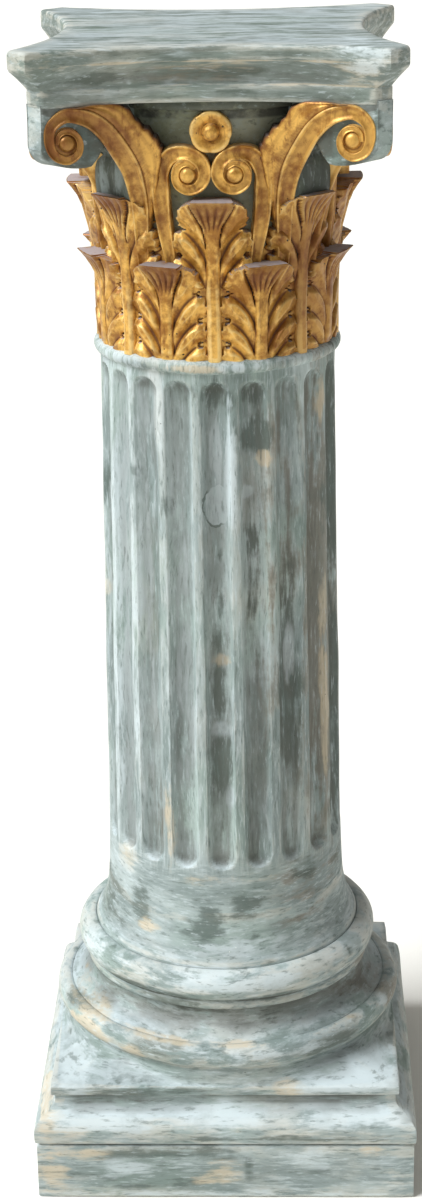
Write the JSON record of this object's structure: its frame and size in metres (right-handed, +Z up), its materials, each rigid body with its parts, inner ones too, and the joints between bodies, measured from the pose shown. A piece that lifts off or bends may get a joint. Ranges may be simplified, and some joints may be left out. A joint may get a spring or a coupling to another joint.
{
  "type": "baroque column",
  "caption": "Free-standing plaster column with a moulded square plinth, fluted shaft and a gilded Corinthian capital; its flat top can carry a pot or bust.",
  "frame": {"origin": "middle of the plinth's underside, on the ground", "axes": "+Z up along the column's axis, from the plinth to the abacus; -Y is the front seen in the picture, +X is to its right"},
  "size_m": [0.355, 0.355, 1.05],
  "materials": {
    "painted_plaster": "cast plaster, pale grey-green wash worn to cream, with gilded leaves on a dark green bell"
  },
  "bodies": {
    "root": {"column": "painted_plaster"}
  },
  "joints": []
}
